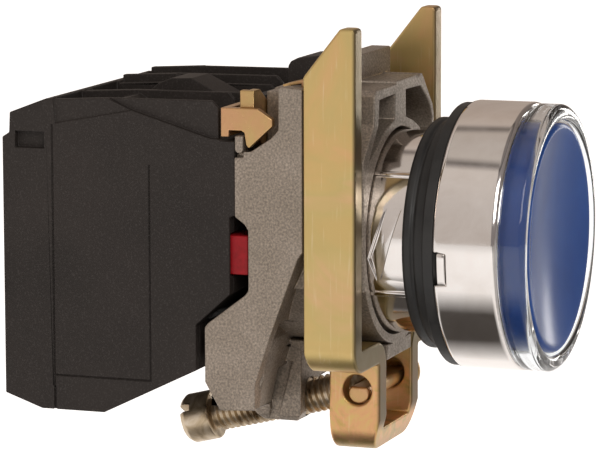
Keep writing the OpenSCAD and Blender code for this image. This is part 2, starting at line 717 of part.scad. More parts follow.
module no_housing() { color(casing) housing(block_x[2], 1, true); }
module no_cover() { color(casing) block_side(block_x[2], 1, true); }
module no_fixed_contacts() { color("peru") fixed_contacts(block_x[2], no_fixed_y, -1); }
module no_bridge() { color("sandybrown") bridge(block_x[2], no_bridge_y, 1); }
module no_plunger() { color("seagreen") plunger(block_x[2], 1); }
module no_spring() { color("silver") contact_spring(block_x[2], no_bridge_y); }

// Spring between a bridge and the stem's wall.
module contact_spring(x, bridge_y) {
    translate([x, 0, stem_z]) coil(1.7, 0.25, bridge_y + 0.75, stem_wall - 0.05, 7);
}

// ---------- light block ----------

module light_housing() {
    x = block_x[1];
    half = block_w / 2 - side_t - 0.05;
    color(casing) difference() {
        union() {
            housing(x, -1, false);
            // Wedge over the terminals, and the hook over the collar's raised wall.
            side_plate([[31.6, 12.4], [31.6, 14.8], [30.8, 15.5], [29.3, 16.1], [26.9, 16.2], [21.6, 13.6],
                [20.4, 11]], x - half, x + 1.6);
            side_plate([[10.7, 16.2], [10.7, 19.3], [14.6, 18.8], [15.4, 18.4], [15.7, 17.9], [15.7, 15],
                [20.4, 14.4], [20.4, 13.6], [13.2, 13.6], [13.2, 16.2]], x - half, x + half);
        }
        rod_y(sleeve_r + 0.05, 16, 22);
    }
}

module light_cover() { color(casing) block_side(block_x[1], -1, false); }

module light_terminals() {
    x = block_x[1];
    color("peru") for (s = [-1, 1]) difference() {
        union() {
            terminal_plate(x, s);
            tie_z = zc + s * tie_height;
            block([x - 3.2, board_rear + 0.02, tie_z - 0.4], [x - 2, terminal_y + 0.5, tie_z + 0.4]);
        }
        translate([x, 0, zc + s * shaft_z]) rod_y(terminal_r + 0.05, 20, 40);
    }
}

module led_board() {
    color("seagreen") block([-3.4, board_front, -9.5], [3.4, board_rear, 5.5]);
}

module lamp_sleeve() {
    // Nose that carries the light emitter forward into the carrier's bore.
    color("gainsboro") difference() {
        rod_y(sleeve_r, 10, board_front - 0.05);
        rod_y(led_r + 0.1, 9, 30);
    }
}

module led() {
    color("aliceblue") {
        rod_y(led_r, 9.5, board_front - 0.05);
        translate([0, 9.5, 0]) sphere(led_r);
    }
}

// ---------- terminals ----------

module nc_top_clamp() { terminal_clamp(block_x[0], 1); }
module nc_top_screw() { terminal_screw(block_x[0], 1); }
module nc_bottom_clamp() { terminal_clamp(block_x[0], -1); }
module nc_bottom_screw() { terminal_screw(block_x[0], -1); }
module light_top_clamp() { terminal_clamp(block_x[1], 1); }
module light_top_screw() { terminal_screw(block_x[1], 1); }
module light_bottom_clamp() { terminal_clamp(block_x[1], -1); }
module light_bottom_screw() { terminal_screw(block_x[1], -1); }
module no_top_clamp() { terminal_clamp(block_x[2], 1); }
module no_top_screw() { terminal_screw(block_x[2], 1); }
module no_bottom_clamp() { terminal_clamp(block_x[2], -1); }
module no_bottom_screw() { terminal_screw(block_x[2], -1); }

lens_cap();
diffuser();
push_carrier();
retaining_clip();
return_spring();
clear_ring();
bezel();
bezel_seal();
head_bushing();
panel_gasket();
collar_casting();
locking_lever();
lever_spring();
clamp_yoke();
pressure_pin();
clamp_screw();
nc_housing();
nc_cover();
nc_fixed_contacts();
nc_bridge();
nc_plunger();
nc_spring();
no_housing();
no_cover();
no_fixed_contacts();
no_bridge();
no_plunger();
no_spring();
light_housing();
light_cover();
light_terminals();
led_board();
led();
lamp_sleeve();
nc_top_clamp();
nc_top_screw();
nc_bottom_clamp();
nc_bottom_screw();
light_top_clamp();
light_top_screw();
light_bottom_clamp();
light_bottom_screw();
no_top_clamp();
no_top_screw();
no_bottom_clamp();
no_bottom_screw();
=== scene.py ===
import math
import bpy
from mathutils import Matrix, Vector


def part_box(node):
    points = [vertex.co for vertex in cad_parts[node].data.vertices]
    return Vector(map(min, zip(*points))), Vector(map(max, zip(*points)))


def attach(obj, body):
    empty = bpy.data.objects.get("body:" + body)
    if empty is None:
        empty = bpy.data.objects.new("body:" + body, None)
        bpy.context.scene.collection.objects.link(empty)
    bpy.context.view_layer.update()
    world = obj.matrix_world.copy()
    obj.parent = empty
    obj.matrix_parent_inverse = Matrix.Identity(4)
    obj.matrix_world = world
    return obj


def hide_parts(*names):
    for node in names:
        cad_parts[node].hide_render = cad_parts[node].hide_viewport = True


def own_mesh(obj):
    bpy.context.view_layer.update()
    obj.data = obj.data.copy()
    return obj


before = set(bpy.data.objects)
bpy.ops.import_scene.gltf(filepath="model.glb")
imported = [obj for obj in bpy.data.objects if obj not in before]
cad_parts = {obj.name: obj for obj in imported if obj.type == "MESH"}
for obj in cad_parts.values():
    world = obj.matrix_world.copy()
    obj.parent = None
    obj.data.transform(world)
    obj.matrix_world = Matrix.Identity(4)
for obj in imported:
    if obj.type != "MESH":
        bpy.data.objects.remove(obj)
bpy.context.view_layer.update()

MM = 0.001


# ---------------------------------------------------------------- bezel
# A die-cast ring, polished and plated with bright chrome. It is pressed on the bushing's flange, and two
# notches at its rear edge show the bushing's snap lugs.

def rounded_copy(node, radius, segments=2, worn=False):
    """A copy of a CAD part with its flats whole, its edges rounded and its curves smooth."""
    bpy.ops.object.select_all(action="DESELECT")
    piece = bpy.data.objects.new(node + "_finished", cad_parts[node].data.copy())
    bpy.context.scene.collection.objects.link(piece)
    piece.data.materials.clear()
    piece.select_set(True)
    bpy.context.view_layer.objects.active = piece
    bpy.ops.object.mode_set(mode="EDIT")
    bpy.ops.mesh.select_all(action="SELECT")
    bpy.ops.mesh.remove_doubles(threshold=0.002 * MM)
    bpy.ops.mesh.dissolve_limited(angle_limit=math.radians(0.5))
    bpy.ops.object.mode_set(mode="OBJECT")
    finish_edges(piece, radius, segments, worn)
    return piece


def finish_edges(piece, radius, segments=2, worn=False):
    """Rounds the sharp edges of a piece inside its old outline; a worn one gets its second finish on them."""
    spans = [(min(sizes), max(sizes)) for sizes in zip(*(vertex.co for vertex in piece.data.vertices))]
    bpy.ops.object.select_all(action="DESELECT")
    piece.select_set(True)
    bpy.context.view_layer.objects.active = piece
    bevel = piece.modifiers.new("edges", "BEVEL")
    bevel.width = radius * MM
    bevel.segments = segments
    bevel.limit_method = "ANGLE"
    bevel.angle_limit = math.radians(28)
    bevel.use_clamp_overlap = False
    bevel.material = 1 if worn else -1
    bpy.ops.object.modifier_apply(modifier="edges")
    for vertex in piece.data.vertices:
        vertex.co = [min(max(at, low), high) for at, (low, high) in zip(vertex.co, spans)]
    bpy.ops.object.shade_smooth_by_angle(angle=math.radians(40))
    shine = piece.modifiers.new("flats", "WEIGHTED_NORMAL")
    shine.keep_sharp = True
    bpy.ops.object.modifier_apply(modifier="flats")


def new_finish(name, metal=0.0, rough=0.5):
    """An empty finish, with its shader and the object's own coordinates."""
    finish = bpy.data.materials.new(name)
    finish.use_nodes = True
    tree = finish.node_tree
    shader = tree.nodes["Principled BSDF"]
    shader.inputs["Metallic"].default_value = metal
    shader.inputs["Roughness"].default_value = rough
    place = tree.nodes.new("ShaderNodeTexCoord").outputs["Object"]
    return finish, tree, shader, place


def grain(tree, place, per_metre, detail=3.0, roughness=0.6, distortion=0.0):
    """A noise pattern; per_metre is how many of its grains go to a metre."""
    noise = tree.nodes.new("ShaderNodeTexNoise")
    noise.inputs["Scale"].default_value = per_metre
    noise.inputs["Detail"].default_value = detail
    noise.inputs["Roughness"].default_value = roughness
    noise.inputs["Distortion"].default_value = distortion
    tree.links.new(place, noise.inputs["Vector"])
    return noise.outputs["Fac"]


def shades(tree, value, stops):
    """Colours along a value; stops are (place, colour)."""
    ramp = tree.nodes.new("ShaderNodeValToRGB")
    points = ramp.color_ramp.elements
    while len(points) < len(stops):
        points.new(0.5)
    for point, (at, colour) in zip(points, stops):
        point.position = at
        point.color = (*colour, 1.0)
    tree.links.new(value, ramp.inputs["Fac"])
    return ramp.outputs["Color"]


def levels(tree, value, low, high, start=0.3, end=0.7):
    """A value stretched from low to high."""
    stretch = tree.nodes.new("ShaderNodeMapRange")
    stretch.inputs["From Min"].default_value = start
    stretch.inputs["From Max"].default_value = end
    stretch.inputs["To Min"].default_value = low
    stretch.inputs["To Max"].default_value = high
    tree.links.new(value, stretch.inputs["Value"])
    return stretch.outputs["Result"]


def blended(tree, share, first, second, kind="MIX"):
    """Two colours blended by a share; each is a colour or an output."""
    blend = tree.nodes.new("ShaderNodeMix")
    blend.data_type = "RGBA"
    blend.blend_type = kind
    sockets = (blend.inputs["Factor"], blend.inputs[6], blend.inputs[7])
    for socket, given in zip(sockets, (share, first, second)):
        if isinstance(given, bpy.types.NodeSocket):
            tree.links.new(given, socket)
        elif isinstance(given, tuple):
            socket.default_value = (*given, 1.0)
        else:
            socket.default_value = given
    return blend.outputs[2]


def relief(tree, shader, height, strength, depth_mm, below=None):
    """Fine relief on the surface; below is a coarser relief under it."""
    bump = tree.nodes.new("ShaderNodeBump")
    bump.inputs["Strength"].default_value = strength
    bump.inputs["Distance"].default_value = depth_mm * MM
    tree.links.new(height, bump.inputs["Height"])
    if below is not None:
        tree.links.new(below, bump.inputs["Normal"])
    tree.links.new(bump.outputs["Normal"], shader.inputs["Normal"])
    return bump.outputs["Normal"]


def chrome_plate():
    """Bright plating over a polished casting: warm, with faint ripples and wiping haze."""
    finish, tree, shader, place = new_finish("chrome_plate", metal=1.0)
    haze = grain(tree, place, 260, detail=5, distortion=0.6)
    colour = shades(tree, haze, [(0.3, (0.80, 0.76, 0.73)), (0.7, (0.88, 0.85, 0.83))])
    tree.links.new(colour, shader.inputs["Base Color"])
    tree.links.new(levels(tree, haze, 0.05, 0.14), shader.inputs["Roughness"])
    ripple = relief(tree, shader, grain(tree, place, 120, detail=1), 0.12, 0.05)
    relief(tree, shader, grain(tree, place, 5200, detail=2), 0.05, 0.02, below=ripple)
    return finish


chrome = chrome_plate()
bezel = rounded_copy("bezel", 0.3, segments=3)
bezel.data.materials.append(chrome)
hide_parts("bezel")
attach(bezel, "root")


# ---------------------------------------------------------------- bushing
# The head's body, cast with the bezel's flange in front and a 22 mm neck that goes through the panel, with
# key ribs, ramps and, at its rear rim, the gaps for the locking lever's lugs. It is plated as the bezel is.

bushing = rounded_copy("head_bushing", 0.12)
bushing.data.materials.append(chrome)
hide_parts("head_bushing")
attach(bushing, "root")


# ---------------------------------------------------------------- clear ring
# A ring of clear polished plastic in front of the bezel, turned smooth outside and sprung into the bezel's
# bore by a thin spigot. The lens slides inside it.

def turned(name, outline, steps=128):
    """A piece of revolution: the outline, (radius, y) in millimetres, is drawn point by point and spun."""
    bpy.ops.object.select_all(action="DESELECT")
    bpy.ops.mesh.primitive_plane_add(size=1 * MM, location=(0, 0, 0))
    piece = bpy.context.object
    piece.name = name
    bpy.ops.object.mode_set(mode="EDIT")
    bpy.ops.mesh.select_all(action="SELECT")
    bpy.ops.mesh.merge(type="CENTER")
    bpy.ops.transform.translate(value=(outline[0][0] * MM, outline[0][1] * MM, 0))
    for here, there in zip(outline, outline[1:]):
        step = ((there[0] - here[0]) * MM, (there[1] - here[1]) * MM, 0)
        bpy.ops.mesh.extrude_region_move(TRANSFORM_OT_translate={"value": step})
    bpy.ops.mesh.select_all(action="SELECT")
    bpy.ops.mesh.spin(steps=steps, angle=math.tau, center=(0, 0, 0), axis=(0, 1, 0))
    bpy.ops.mesh.select_all(action="SELECT")
    bpy.ops.mesh.remove_doubles(threshold=0.002 * MM)
    bpy.ops.mesh.normals_make_consistent(inside=False)
    bpy.ops.object.mode_set(mode="OBJECT")
    return piece


def clear_plastic():
    """Clear acrylic: polished, with a very faint flow pattern."""
    finish, tree, shader, place = new_finish("clear_plastic", rough=0.03)
    shader.inputs["Base Color"].default_value = (0.93, 0.97, 1.0, 1.0)
    shader.inputs["Transmission Weight"].default_value = 1.0
    shader.inputs["IOR"].default_value = 1.49
    relief(tree, shader, grain(tree, place, 300, detail=1), 0.03, 0.05)
    return finish


ring_low, ring_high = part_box("clear_ring")
bezel_low, bezel_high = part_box("bezel")
ring_front = ring_low.y / MM
ring_back = bezel_low.y / MM
ring_outer = ring_high.z / MM
ring_bore = 12.6
spigot_outer = 13.0
spigot_back = ring_high.y / MM
clear_ring = turned("clear_ring_finished", [
    (ring_bore, ring_front + 0.35), (ring_bore + 0.35, ring_front), (ring_outer - 0.5, ring_front),
    (ring_outer, ring_front + 0.5), (ring_outer, ring_back - 0.3), (ring_outer - 0.3, ring_back),
    (spigot_outer, ring_back), (spigot_outer, spigot_back), (ring_bore, spigot_back),
    (ring_bore, ring_front + 0.35)])
finish_edges(clear_ring, 0.22, segments=3)
clear_ring.data.materials.append(clear_plastic())
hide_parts("clear_ring")
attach(clear_ring, "root")


# ---------------------------------------------------------------- lens cap
# The button itself: a cap of deep blue translucent plastic with a hollow skirt, snapped on the carrier. Its
# face is dished for the fingertip and meets a small round edge.

def blue_lens():
    """Deep blue translucent plastic that lets some light through, glossy, with faint swirls."""
    finish, tree, shader, place = new_finish("blue_lens", rough=0.16)
    swirl = grain(tree, place, 90, detail=2, distortion=0.8)
    colour = shades(tree, swirl, [(0.25, (0.022, 0.070, 0.27)), (0.75, (0.030, 0.098, 0.36))])
    tree.links.new(colour, shader.inputs["Base Color"])
    shader.inputs["Subsurface Weight"].default_value = 0.25
    shader.inputs["Subsurface Radius"].default_value = (0.2, 0.5, 1.5)
    shader.inputs["Subsurface Scale"].default_value = 1 * MM
    shader.inputs["Specular IOR Level"].default_value = 0.07
    relief(tree, shader, grain(tree, place, 3500, detail=2), 0.05, 0.02)
    return finish


lens_low, lens_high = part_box("lens_cap")
lens_radius = lens_high.z / MM
face_y = lens_low.y / MM
skirt_back = lens_high.y / MM
dish_depth = 1.3
rim = 0.35
wall = 1.2
ceiling = face_y + 2.6
inner_radius = lens_radius - wall
sphere_radius = (lens_radius ** 2 + dish_depth ** 2) / (2 * dish_depth)
face_steps = 14
face_outline = []
for i in range(face_steps + 1):
    radius = (lens_radius - rim) * i / face_steps
    depth = dish_depth - (sphere_radius - math.sqrt(sphere_radius ** 2 - radius ** 2))
    face_outline.append((radius, face_y + depth))
lens = turned("lens_cap_finished", face_outline + [
    (lens_radius, face_y + rim), (lens_radius, skirt_back), (inner_radius, skirt_back),
    (inner_radius, ceiling), (0, ceiling)])
finish_edges(lens, 0.25, segments=3)
lens.data.materials.append(blue_lens())
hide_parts("lens_cap")
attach(lens, "button")


# ---------------------------------------------------------------- panel gasket
# A moulded black rubber ring behind the bezel: a wide lip under the bezel's edge, and a round-edged neck
# that the panel's front face seats on.

def black_rubber():
    """Black moulded rubber with a bloom of dust-grey and a fine skin."""
    finish, tree, shader, place = new_finish("black_rubber")
    bloom = grain(tree, place, 350, detail=4)
    colour = shades(tree, bloom, [(0.35, (0.010, 0.010, 0.010)), (0.75, (0.026, 0.025, 0.024))])
    tree.links.new(colour, shader.inputs["Base Color"])
    tree.links.new(levels(tree, bloom, 0.42, 0.62), shader.inputs["Roughness"])
    relief(tree, shader, grain(tree, place, 4200, detail=2), 0.2, 0.03)
    return finish


rubber = black_rubber()
gasket_low, gasket_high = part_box("panel_gasket")
gasket_front = gasket_low.y / MM
lip_radius = gasket_high.z / MM
gasket_bore = 11.3
neck_radius = 12.5
lip_back = gasket_front + 1.1
groove_y = -1.2
groove_half = 0.3
groove_depth = 0.25
seat_chamfer = 0.3
gasket = turned("panel_gasket_finished", [
    (gasket_bore, gasket_front), (lip_radius, gasket_front), (lip_radius, lip_back),
    (neck_radius + 0.5, lip_back + 0.15), (neck_radius, lip_back + 0.55), (neck_radius, groove_y - groove_half),
    (neck_radius - groove_depth, groove_y), (neck_radius, groove_y + groove_half), (neck_radius, -seat_chamfer),
    (neck_radius - seat_chamfer, 0), (gasket_bore, 0), (gasket_bore, gasket_front)])
finish_edges(gasket, 0.12)
gasket.data.materials.append(rubber)
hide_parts("panel_gasket")
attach(gasket, "root")

seal = rounded_copy("bezel_seal", 0.08)
seal.data.materials.append(rubber)
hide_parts("bezel_seal")
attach(seal, "root")


# ---------------------------------------------------------------- collar
# The fixing collar, die-cast in zinc and left raw: a ring round the bushing, two side plates that the
# blocks sit on, and the threaded boss of the clamp screw below. Handling has brightened its edges.

def cast_zinc():
    """Raw die casting: grey-brown, speckled with bright grains and darker flow marks."""
    finish, tree, shader, place = new_finish("cast_zinc", metal=0.75)
    flow = grain(tree, place, 140, detail=4, distortion=0.7)
    speck = grain(tree, place, 4200, detail=2)
    ground = shades(tree, flow, [(0.3, (0.285, 0.242, 0.197)), (0.7, (0.365, 0.312, 0.262))])
    grains = shades(tree, speck, [
        (0.30, (0.72, 0.72, 0.72)), (0.5, (0.98, 0.98, 0.98)), (0.72, (1.4, 1.37, 1.33))])
    tree.links.new(blended(tree, 1.0, ground, grains, "MULTIPLY"), shader.inputs["Base Color"])
    tree.links.new(levels(tree, speck, 0.62, 0.42), shader.inputs["Roughness"])
    skin = relief(tree, shader, flow, 0.35, 0.15)
    relief(tree, shader, speck, 0.35, 0.05, below=skin)
    return finish


def bright_zinc():
    """The same casting rubbed bright on its edges."""
    finish, tree, shader, place = new_finish("bright_zinc", metal=0.9)
    patches = grain(tree, place, 900, detail=3)
    colour = shades(tree, patches, [(0.38, (0.30, 0.27, 0.24)), (0.62, (0.82, 0.79, 0.75))])
    tree.links.new(colour, shader.inputs["Base Color"])
    tree.links.new(levels(tree, patches, 0.5, 0.28), shader.inputs["Roughness"])
    relief(tree, shader, grain(tree, place, 2600, detail=2), 0.2, 0.04)
    return finish


collar = rounded_copy("collar_casting", 0.16, worn=True)
collar.data.materials.append(cast_zinc())
collar.data.materials.append(bright_zinc())
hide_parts("collar_casting")
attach(collar, "root")


# ---------------------------------------------------------------- clamp yoke
# Folded from 2 mm steel and yellow-passivated: two tall wings whose front edges grip the panel, shelves
# under them, and a stirrup that the pressure pin crosses. The plating is iridescent, gold to rose.

def yellow_zinc():
    """Yellow passivated zinc: olive gold wings, a rose and orange stirrup, a foot darkened with painted shade,
    darker front edges.
    """
    finish, tree, shader, place = new_finish("yellow_zinc", metal=0.88)
    axes = tree.nodes.new("ShaderNodeSeparateXYZ")
    tree.links.new(place, axes.inputs["Vector"])

    clouds = grain(tree, place, 60, detail=4, distortion=1.4)
    wing = shades(tree, clouds, [
        (0.30, (0.72, 0.44, 0.21)), (0.44, (0.65, 0.46, 0.19)),
        (0.56, (0.60, 0.46, 0.19)), (0.72, (0.72, 0.45, 0.25))])
    patches = grain(tree, place, 260, detail=4, distortion=1.0)
    stirrup = shades(tree, patches, [
        (0.32, (0.38, 0.26, 0.11)), (0.44, (0.60, 0.40, 0.145)),
        (0.54, (0.76, 0.42, 0.21)), (0.68, (0.72, 0.54, 0.19))])
    stirrup_full, stirrup_start = -16.5 * MM, -12.5 * MM
    gold = blended(tree, levels(tree, axes.outputs["Z"], 1.0, 0.0, stirrup_full, stirrup_start), wing, stirrup)
    # Towards the foot the gold is darkened to brown: painted shade of the foot's inner bend.
    foot_full, foot_start = -23.8 * MM, -21.5 * MM
    with_painted_foot_shade = blended(tree, levels(tree, axes.outputs["Z"], 0.6, 0.0, foot_full, foot_start),
                        gold, (0.30, 0.25, 0.16))

    scratch_place = tree.nodes.new("ShaderNodeMapping")
    scratch_place.inputs["Rotation"].default_value = (0.35, 0, 0)
    scratch_place.inputs["Scale"].default_value = (1.0, 1.0, 0.05)
    tree.links.new(place, scratch_place.inputs["Vector"])
    scratches = grain(tree, scratch_place.outputs["Vector"], 3400, detail=2)
    scratched = blended(tree, levels(tree, scratches, 0.0, 0.3, 0.60, 0.74), with_painted_foot_shade, (0.86, 0.76, 0.55))

    # In front of Y 4.3 mm the colour is darkened towards near-black.
    front_full, front_end = 4.3 * MM, 4.6 * MM
    with_front = blended(tree, levels(tree, axes.outputs["Y"], 0.75, 0.0, front_full, front_end),
                         scratched, (0.10, 0.08, 0.05))
    tree.links.new(with_front, shader.inputs["Base Color"])
    tree.links.new(levels(tree, patches, 0.30, 0.42), shader.inputs["Roughness"])
    relief(tree, shader, grain(tree, place, 2400, detail=2), 0.12, 0.03)
    return finish


def yellow_edge():
    """The sheet's blanked and rubbed edge: darker gold with bright silver runs."""
    finish, tree, shader, place = new_finish("yellow_edge", metal=0.95)
    runs = grain(tree, place, 700, detail=4)
    colour = shades(tree, runs, [
        (0.36, (0.15, 0.12, 0.07)), (0.54, (0.30, 0.25, 0.16)), (0.70, (0.80, 0.74, 0.62))])
    tree.links.new(colour, shader.inputs["Base Color"])
    tree.links.new(levels(tree, runs, 0.4, 0.22), shader.inputs["Roughness"])
    return finish


yoke_gold = yellow_zinc()
yoke_edge = yellow_edge()
yoke = rounded_copy("clamp_yoke", 0.28, segments=3, worn=True)
yoke.data.materials.append(yoke_gold)
yoke.data.materials.append(yoke_edge)
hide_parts("clamp_yoke")
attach(yoke, "yoke")


# ---------------------------------------------------------------- locking lever
# Blanked from 0.9 mm steel and bent: a ring in the collar with three lugs, and a flag at the side with a
# tooth and a finger tab. It has a deeper gold passivation than the yoke.

def gold_zinc():
    """Deep yellow passivation, peach to gold, with a satin sheet surface."""
    finish, tree, shader, place = new_finish("gold_zinc", metal=0.9)
    clouds = grain(tree, place, 180, detail=3, distortion=0.8)
    colour = shades(tree, clouds, [
        (0.3, (0.56, 0.41, 0.17)), (0.5, (0.59, 0.375, 0.17)), (0.72, (0.63, 0.35, 0.19))])
    tree.links.new(colour, shader.inputs["Base Color"])
    tree.links.new(levels(tree, grain(tree, place, 2500, detail=2), 0.27, 0.40), shader.inputs["Roughness"])
    relief(tree, shader, grain(tree, place, 2500, detail=2), 0.15, 0.03)
    return finish


lever_gold = gold_zinc()
lever = rounded_copy("locking_lever", 0.12, worn=True)
lever.data.materials.append(lever_gold)
lever.data.materials.append(yoke_edge)
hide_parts("locking_lever")
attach(lever, "lever")

leaf = rounded_copy("lever_spring", 0.07, worn=True)
leaf.data.materials.append(lever_gold)
leaf.data.materials.append(yoke_edge)
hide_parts("lever_spring")
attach(leaf, "root")

pin = rounded_copy("pressure_pin", 0.25, segments=3, worn=True)
pin.data.materials.append(lever_gold)
pin.data.materials.append(yoke_edge)
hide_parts("pressure_pin")
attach(pin, "pin")


# ---------------------------------------------------------------- clamp screw
# An M4 cheese-head screw of plated steel, about 19 mm under its slotted head, with a rolled 0.7 mm thread.
# It leans 14 degrees, threads through the collar's boss and pushes on the pressure pin's flat.

screw_tilt = math.radians(14)
screw_start = Vector((0, 6.65, -16.95)) * MM
screw_lean = Matrix.Translation(screw_start) @ Matrix.Rotation(-math.pi / 2 - screw_tilt, 4, "X")
pitch = 0.7
turns = 25
core_radius = 1.62
crest_radius = 1.98
tip = 0.77
tip_radius = 1.25
thread_start = 1.35
head_start = 19.5
head_end = 23.0
head_radius = 2.75
slot_width = 0.8
slot_depth = 1.3


def screw_zinc():
    """Thin yellow passivation over a rolled screw: brown gold, oily in its hollows."""
    finish, tree, shader, place = new_finish("screw_zinc", metal=0.9)
    oil = grain(tree, place, 420, detail=4, distortion=0.8)
    colour = shades(tree, oil, [
        (0.32, (0.26, 0.19, 0.12)), (0.5, (0.54, 0.43, 0.29)), (0.7, (0.76, 0.66, 0.53))])
    tree.links.new(colour, shader.inputs["Base Color"])
    tree.links.new(levels(tree, oil, 0.26, 0.38), shader.inputs["Roughness"])
    relief(tree, shader, grain(tree, place, 2500, detail=2), 0.12, 0.02)
    return finish


# The body without its thread is spun and stood on Z.
shank = turned("clamp_screw_finished", [
    (0, tip), (tip_radius, tip), (core_radius, thread_start), (core_radius, head_start),
    (head_radius - 0.15, head_start), (head_radius, head_start + 0.15), (head_radius, head_end - 0.6),
    (head_radius - 0.45, head_end), (0, head_end)], steps=64)
shank.data.transform(Matrix.Rotation(math.pi / 2, 4, "X"))

# The driver slot is cut across the head by a bar that is wider than it.
bpy.ops.object.select_all(action="DESELECT")
bpy.ops.mesh.primitive_cube_add(size=1)
slot_bar = bpy.context.object
slot_bar.scale = (2.4 * head_radius * MM, slot_width * MM, 2 * slot_depth * MM)
slot_bar.location = (0, 0, head_end * MM)
slot_bar.rotation_euler = (0, 0, math.radians(35))
bpy.ops.object.transform_apply(location=True, rotation=True, scale=True)
bpy.context.view_layer.objects.active = shank
slot_cut = shank.modifiers.new("slot", "BOOLEAN")
slot_cut.object = slot_bar
slot_cut.operation = "DIFFERENCE"
slot_cut.solver = "EXACT"
bpy.ops.object.modifier_apply(modifier="slot")
bpy.data.objects.remove(slot_bar)
finish_edges(shank, 0.12)

# The thread: one tooth's outline is stood beside the axis and swept up the shank as a helix.
bpy.ops.object.select_all(action="DESELECT")
bpy.ops.mesh.primitive_plane_add(size=1 * MM)
thread = bpy.context.object
thread.name = "clamp_screw_thread"
root_radius = core_radius - 0.12
tooth = ((root_radius, 0.0), (crest_radius, 0.26), (root_radius, 0.62), (crest_radius, 0.36))
for corner, (radius, z) in zip(thread.data.vertices, tooth):
    corner.co = Vector((radius, 0, z + thread_start)) * MM
helix = thread.modifiers.new("helix", "SCREW")
helix.axis = "Z"
helix.angle = math.tau * turns
helix.screw_offset = pitch * turns * MM
helix.steps = 32 * turns
helix.render_steps = 32 * turns
bpy.ops.object.modifier_apply(modifier="helix")
bpy.ops.object.mode_set(mode="EDIT")
bpy.ops.mesh.select_all(action="SELECT")
bpy.ops.mesh.normals_make_consistent(inside=False)
bpy.ops.object.mode_set(mode="OBJECT")
bpy.ops.object.shade_smooth_by_angle(angle=math.radians(35))
screw_finish = screw_zinc()
for part in (shank, thread):
    part.data.transform(screw_lean)
    part.data.materials.append(screw_finish)
    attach(part, "yoke_screw")
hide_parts("clamp_screw")


# ---------------------------------------------------------------- block casings
# Three casings of black glass-filled plastic, each a housing closed by a cover plate. The moulds are
# spark-eroded, so the plastic is matt with a fine grain, and its edges are rubbed a little lighter.

def black_plastic():
    """Black-brown moulded plastic: matt, with a fine grain and pale dust in it."""
    finish, tree, shader, place = new_finish("black_plastic")
    dust = grain(tree, place, 5200, detail=2)
    cloud = grain(tree, place, 70, detail=3, distortion=0.5)
    ground = shades(tree, cloud, [(0.3, (0.019, 0.0152, 0.0133)), (0.7, (0.031, 0.025, 0.022))])
    dusty = blended(tree, levels(tree, dust, 0.0, 0.6, 0.52, 0.8), ground, (0.075, 0.066, 0.062))
    tree.links.new(dusty, shader.inputs["Base Color"])
    tree.links.new(levels(tree, cloud, 0.5, 0.62), shader.inputs["Roughness"])
    shader.inputs["Specular IOR Level"].default_value = 0.25
    relief(tree, shader, dust, 0.35, 0.04)
    return finish


def rubbed_plastic():
    """The same plastic on its edges, rubbed smoother and lighter."""
    finish, tree, shader, place = new_finish("rubbed_plastic")
    rub = grain(tree, place, 800, detail=3)
    colour = shades(tree, rub, [(0.35, (0.07, 0.062, 0.060)), (0.7, (0.20, 0.185, 0.18))])
    tree.links.new(colour, shader.inputs["Base Color"])
    tree.links.new(levels(tree, rub, 0.5, 0.36), shader.inputs["Roughness"])
    return finish


casing_black = black_plastic()
casing_edge = rubbed_plastic()
for block_name in ("nc", "light", "no"):
    for part_name in ("housing", "cover"):
        node = block_name + "_" + part_name
        casing = rounded_copy(node, 0.12, worn=True)
        casing.data.materials.append(casing_black)
        casing.data.materials.append(casing_edge)
        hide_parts(node)
        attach(casing, "root")


# ---------------------------------------------------------------- plungers
# Each contact block has a coloured plunger: red for the contact that opens, green for the one that closes.

def coloured_plastic(name, dark, light):
    """A moulded colour with slight mottling and a satin skin."""
    finish, tree, shader, place = new_finish(name)
    mottle = grain(tree, place, 1500, detail=3)
    tree.links.new(shades(tree, mottle, [(0.3, dark), (0.7, light)]), shader.inputs["Base Color"])
    tree.links.new(levels(tree, mottle, 0.38, 0.5), shader.inputs["Roughness"])
    shader.inputs["Specular IOR Level"].default_value = 0.3
    relief(tree, shader, grain(tree, place, 4000, detail=2), 0.15, 0.03)
    return finish


plunger_colours = {
    "nc": ("red_plastic", (0.24, 0.003, 0.006), (0.34, 0.006, 0.012)),
    "no": ("green_plastic", (0.008, 0.16, 0.05), (0.015, 0.24, 0.08))}
for block_name, (slot_name, dark, light) in plunger_colours.items():
    plunger = rounded_copy(block_name + "_plunger", 0.15)
    plunger.data.materials.append(coloured_plastic(slot_name, dark, light))
    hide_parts(block_name + "_plunger")
    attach(plunger, block_name + "_contact")


# ---------------------------------------------------------------- inner parts
# What the head and the casings hold: the carrier and its clip, contacts, terminals and the light. They keep
# their CAD shapes and get the finishes of moulded plastic, plated steel and stamped brass.

def bright_steel():
    """Zinc-plated steel: cool, satin, with fine drawn lines."""
    finish, tree, shader, place = new_finish("bright_steel", metal=1.0)
    lines = grain(tree, place, 1800, detail=4)
    tree.links.new(shades(tree, lines, [(0.3, (0.52, 0.53, 0.54)), (0.7, (0.74, 0.75, 0.76))]),
                   shader.inputs["Base Color"])
    tree.links.new(levels(tree, lines, 0.24, 0.40), shader.inputs["Roughness"])
    relief(tree, shader, lines, 0.1, 0.02)
    return finish


def contact_brass():
    """Stamped brass strip, slightly tarnished."""
    finish, tree, shader, place = new_finish("contact_brass", metal=1.0)
    tarnish = grain(tree, place, 600, detail=4, distortion=0.5)
    tree.links.new(shades(tree, tarnish, [(0.3, (0.50, 0.34, 0.14)), (0.7, (0.78, 0.58, 0.28))]),
                   shader.inputs["Base Color"])
    tree.links.new(levels(tree, tarnish, 0.42, 0.26), shader.inputs["Roughness"])
    relief(tree, shader, grain(tree, place, 3000, detail=2), 0.1, 0.02)
    return finish


